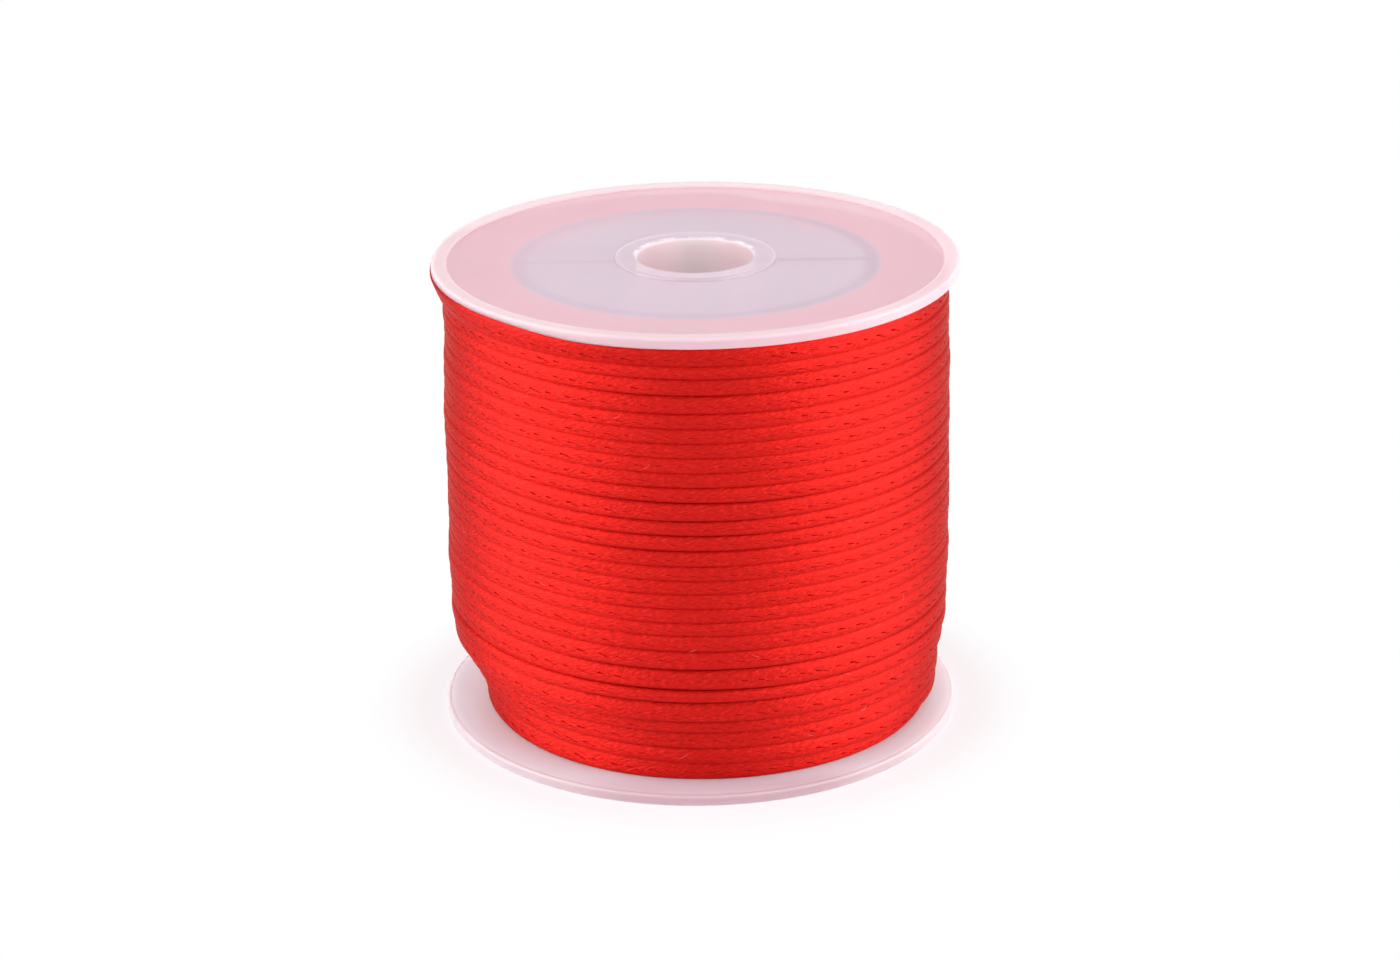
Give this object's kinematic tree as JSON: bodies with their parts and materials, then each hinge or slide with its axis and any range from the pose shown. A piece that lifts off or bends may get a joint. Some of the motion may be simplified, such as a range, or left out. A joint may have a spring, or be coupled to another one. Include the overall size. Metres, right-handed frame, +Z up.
{
  "type": "cord spool",
  "caption": "Small flanged plastic spool with a through bore, wound with soft satin cord in layers, for gift wrapping and craft work.",
  "frame": {"origin": "on the spool's axis, at the plane that the lower rim stands on", "axes": "+Z up along the bore; the two hub webs lie along X; the loose end of the cord is tucked in at the left and back, -X and +Y"},
  "size_m": [0.046, 0.0461, 0.042],
  "materials": {
    "spool_plastic": "frosted translucent polypropylene",
    "satin_cord": "satin"
  },
  "bodies": {
    "root": {"upper_half": "spool_plastic", "lower_half": "spool_plastic", "cord_layer_1": "satin_cord", "cord_layer_2": "satin_cord", "cord_layer_3": "satin_cord", "cord_layer_4": "satin_cord", "cord_end": "satin_cord"}
  },
  "joints": []
}
